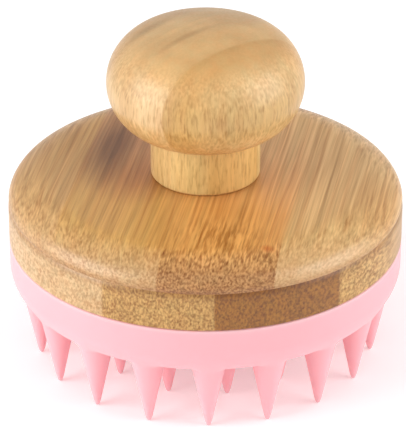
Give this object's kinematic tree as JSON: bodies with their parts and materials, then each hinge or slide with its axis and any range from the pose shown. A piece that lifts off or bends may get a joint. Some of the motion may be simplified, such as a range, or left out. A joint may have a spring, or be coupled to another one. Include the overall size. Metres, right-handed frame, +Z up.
{
  "type": "scalp massager brush",
  "caption": "Palm-held scalp massager: a turned bamboo knob on a laminated bamboo disc, with a pull-off silicone pad of tapered bristles.",
  "frame": {"origin": "on the knob's axis, in the plane of the bristle tips, which is the plane it stands on", "axes": "+Z up along the axis of the knob and disc, -Y towards the front bristle of the outer ring, +X to its right"},
  "size_m": [0.08, 0.08, 0.0714],
  "materials": {
    "knob_bamboo": "turned bamboo with vertical fibre, sanded and lightly oiled, satin",
    "disc_bamboo": "edge-glued bamboo strips, sanded and lightly oiled, satin, fibre ends speckled at the rim",
    "silicone": "soft pale pink silicone, matt and slightly translucent",
    "screw_steel": "zinc plated"
  },
  "bodies": {
    "brush_pad": {"silicone_pad": "silicone", "outer_bristles": "silicone", "middle_bristles": "silicone", "inner_bristles": "silicone", "centre_bristle": "silicone"},
    "handle": {"knob": "knob_bamboo", "disc_top_ply": "disc_bamboo", "disc_middle_ply": "disc_bamboo", "disc_base_ply": "disc_bamboo", "knob_screw": "screw_steel"}
  },
  "joints": [
    {"name": "handle_lift", "type": "slide", "parent": "brush_pad", "child": "handle", "axis": [0, 0, 1], "range_m": [0, 0.012]}
  ]
}
